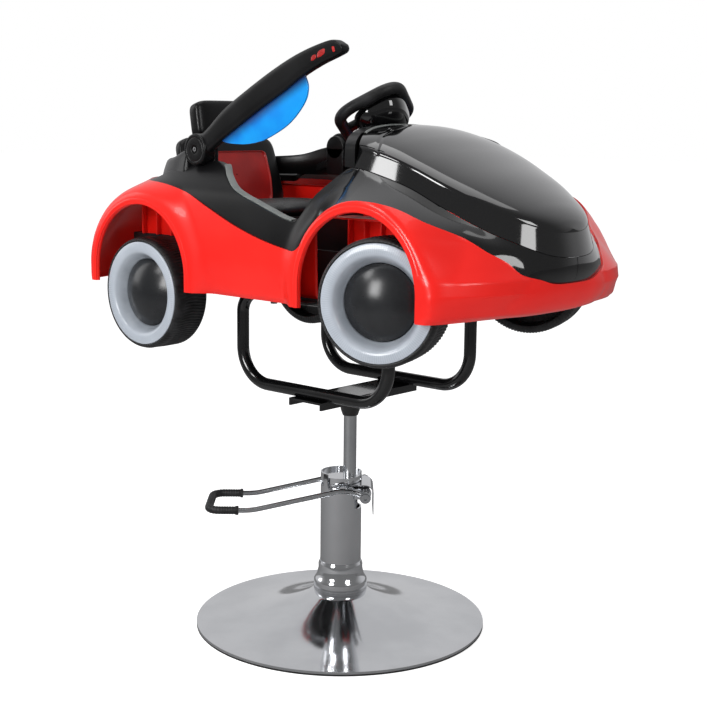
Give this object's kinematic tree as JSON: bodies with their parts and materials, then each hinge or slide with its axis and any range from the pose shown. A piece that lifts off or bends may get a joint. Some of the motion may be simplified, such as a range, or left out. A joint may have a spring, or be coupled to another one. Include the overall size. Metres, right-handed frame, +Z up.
{
  "type": "child's salon chair",
  "caption": "Child's hairdressing chair: a moulded toy car body with seat, steering wheel and lifting door arms, swivelling on a foot-pumped round base.",
  "frame": {"origin": "centre of the round foot on the floor", "axes": "+X towards the car's nose, +Y to the sitter's left, +Z up"},
  "size_m": [1.0561, 0.6616, 1.1841],
  "materials": {
    "chrome": "polished",
    "bright_steel": "satin",
    "foot_rubber": "matt",
    "machined_steel": "machined",
    "grip_rubber": "ribbed matt",
    "black_steel": "satin enamel",
    "red_shell": "gloss",
    "black_shell": "high gloss",
    "black_plastic": "satin",
    "red_panel": "satin",
    "blue_panel": "gloss",
    "grey_trim": "satin",
    "vinyl": "grained vinyl",
    "tyre": "satin",
    "pale_ring": "satin metallic"
  },
  "bodies": {
    "base": {"base_disc": "chrome", "base_ring": "foot_rubber", "base_socket": "machined_steel", "column_collar": "chrome", "pump_tube": "chrome", "pump_head": "chrome", "pump_cylinder": "machined_steel", "pump_cap": "chrome", "guard_plate": "chrome"},
    "lift_rod": {"piston_rod": "chrome"},
    "plunger": {"plunger": "machined_steel"},
    "pedal": {"pump_fork": "machined_steel", "pedal_lever": "bright_steel", "pedal_sleeve": "grip_rubber", "pedal_shaft": "machined_steel", "pedal_bolts": "bright_steel"},
    "car": {"swivel_socket": "black_steel", "mount_plate": "black_steel", "cross_plate": "black_steel", "frame_loop_right": "black_steel", "frame_loop_left": "black_steel", "frame_bolts": "machined_steel", "lower_body": "red_shell", "arch_walls": "red_shell", "upper_body": "black_shell", "floor_pan": "black_plastic", "hood": "black_shell", "dash": "black_shell", "sill_trims": "grey_trim", "seat_base": "black_shell", "seat_pad": "vinyl", "seat_back": "black_shell", "back_pad": "red_panel", "headrest": "black_shell", "front_axle": "machined_steel", "rear_axle": "machined_steel", "rear_deck": "black_shell"},
    "steering": {"steering_wheel": "black_shell", "wheel_shell": "black_shell", "steering_shaft": "machined_steel"},
    "horn": {"horn_button": "grey_trim"},
    "knuckle_right": {"knuckle_right": "machined_steel"},
    "knuckle_left": {"knuckle_left": "machined_steel"},
    "tie_rod": {"tie_rod": "machined_steel"},
    "wheel_front_right": {"tyre_front_right": "tyre", "rings_front_right": "pale_ring", "cap_front_right": "black_shell"},
    "wheel_front_left": {"tyre_front_left": "tyre", "rings_front_left": "pale_ring", "cap_front_left": "black_shell"},
    "wheel_rear_right": {"tyre_rear_right": "tyre", "rings_rear_right": "pale_ring", "cap_rear_right": "black_shell"},
    "wheel_rear_left": {"tyre_rear_left": "tyre", "rings_rear_left": "pale_ring", "cap_rear_left": "black_shell"},
    "door_right": {"door_arm_right": "black_shell", "door_window_right": "blue_panel"},
    "door_left": {"door_arm_left": "black_shell", "door_window_left": "blue_panel"}
  },
  "joints": [
    {"name": "lift_slide", "type": "slide", "parent": "base", "child": "lift_rod", "axis": [0, 0, 1], "range_m": [-0.108, 0.022]},
    {"name": "seat_swivel", "type": "hinge", "parent": "lift_rod", "child": "car", "pos_m": [0.01292, 0.01181, 0.46], "axis": [0, 0, 1], "continuous": true},
    {"name": "pump_pedal", "type": "hinge", "parent": "base", "child": "pedal", "pos_m": [0.03617, 0.03306, 0.285], "axis": [-0.6747, 0.7381, 0], "range_deg": [-20, 0], "stiffness_Nm_per_rad": 9, "springref_deg": 22.92},
    {"name": "pump_plunger", "type": "slide", "parent": "base", "child": "plunger", "axis": [0, 0, 1], "range_m": [-0.025, 0]},
    {"name": "steering_turn", "type": "hinge", "parent": "car", "child": "steering", "pos_m": [0.0692, 0.0118, 1.05], "axis": [-0.5736, 0, 0.8192], "range_deg": [-70, 0]},
    {"name": "horn_press", "type": "slide", "parent": "steering", "child": "horn", "axis": [-0.5736, 0, 0.8192], "range_m": [-0.003, 0], "stiffness_N_per_m": 600, "springref_m": 0.002},
    {"name": "kingpin_right", "type": "hinge", "parent": "car", "child": "knuckle_right", "pos_m": [0.2992, -0.1782, 0.73], "axis": [0, 0, 1], "range_deg": [-38.48, 0]},
    {"name": "kingpin_left", "type": "hinge", "parent": "car", "child": "knuckle_left", "pos_m": [0.2992, 0.2018, 0.73], "axis": [0, 0, 1], "range_deg": [-38.48, 0]},
    {"name": "tie_rod_pivot", "type": "hinge", "parent": "knuckle_right", "child": "tie_rod", "pos_m": [0.24255, -0.19797, 0.72], "axis": [0, 0, 1], "range_deg": [0, 38.48]},
    {"name": "wheel_front_right_spin", "type": "hinge", "parent": "knuckle_right", "child": "wheel_front_right", "pos_m": [0.32227, -0.24429, 0.73], "axis": [-0.3295, 0.9441, 0], "continuous": true},
    {"name": "wheel_front_left_spin", "type": "hinge", "parent": "knuckle_left", "child": "wheel_front_left", "pos_m": [0.27613, 0.26789, 0.73], "axis": [-0.3295, 0.9441, 0], "continuous": true},
    {"name": "wheel_rear_right_spin", "type": "hinge", "parent": "car", "child": "wheel_rear_right", "pos_m": [-0.3088, -0.2272, 0.688], "axis": [0, 1, 0], "continuous": true},
    {"name": "wheel_rear_left_spin", "type": "hinge", "parent": "car", "child": "wheel_rear_left", "pos_m": [-0.3088, 0.2508, 0.688], "axis": [0, 1, 0], "continuous": true},
    {"name": "door_arm_right_lift", "type": "hinge", "parent": "car", "child": "door_right", "pos_m": [-0.2058, -0.1982, 0.978], "axis": [0, 1, 0], "range_deg": [0, 26.5]},
    {"name": "door_arm_left_lift", "type": "hinge", "parent": "car", "child": "door_left", "pos_m": [-0.2058, 0.2218, 0.978], "axis": [0, 1, 0], "range_deg": [-26.5, 0]}
  ],
  "couplings": [
    {"joint": "pump_plunger", "follows": "pump_pedal", "m_per_rad": 0.07},
    {"joint": "kingpin_right", "follows": "steering_turn", "ratio": 0.5497},
    {"joint": "kingpin_left", "follows": "steering_turn", "ratio": 0.5497},
    {"joint": "tie_rod_pivot", "follows": "steering_turn", "ratio": -0.5497}
  ]
}
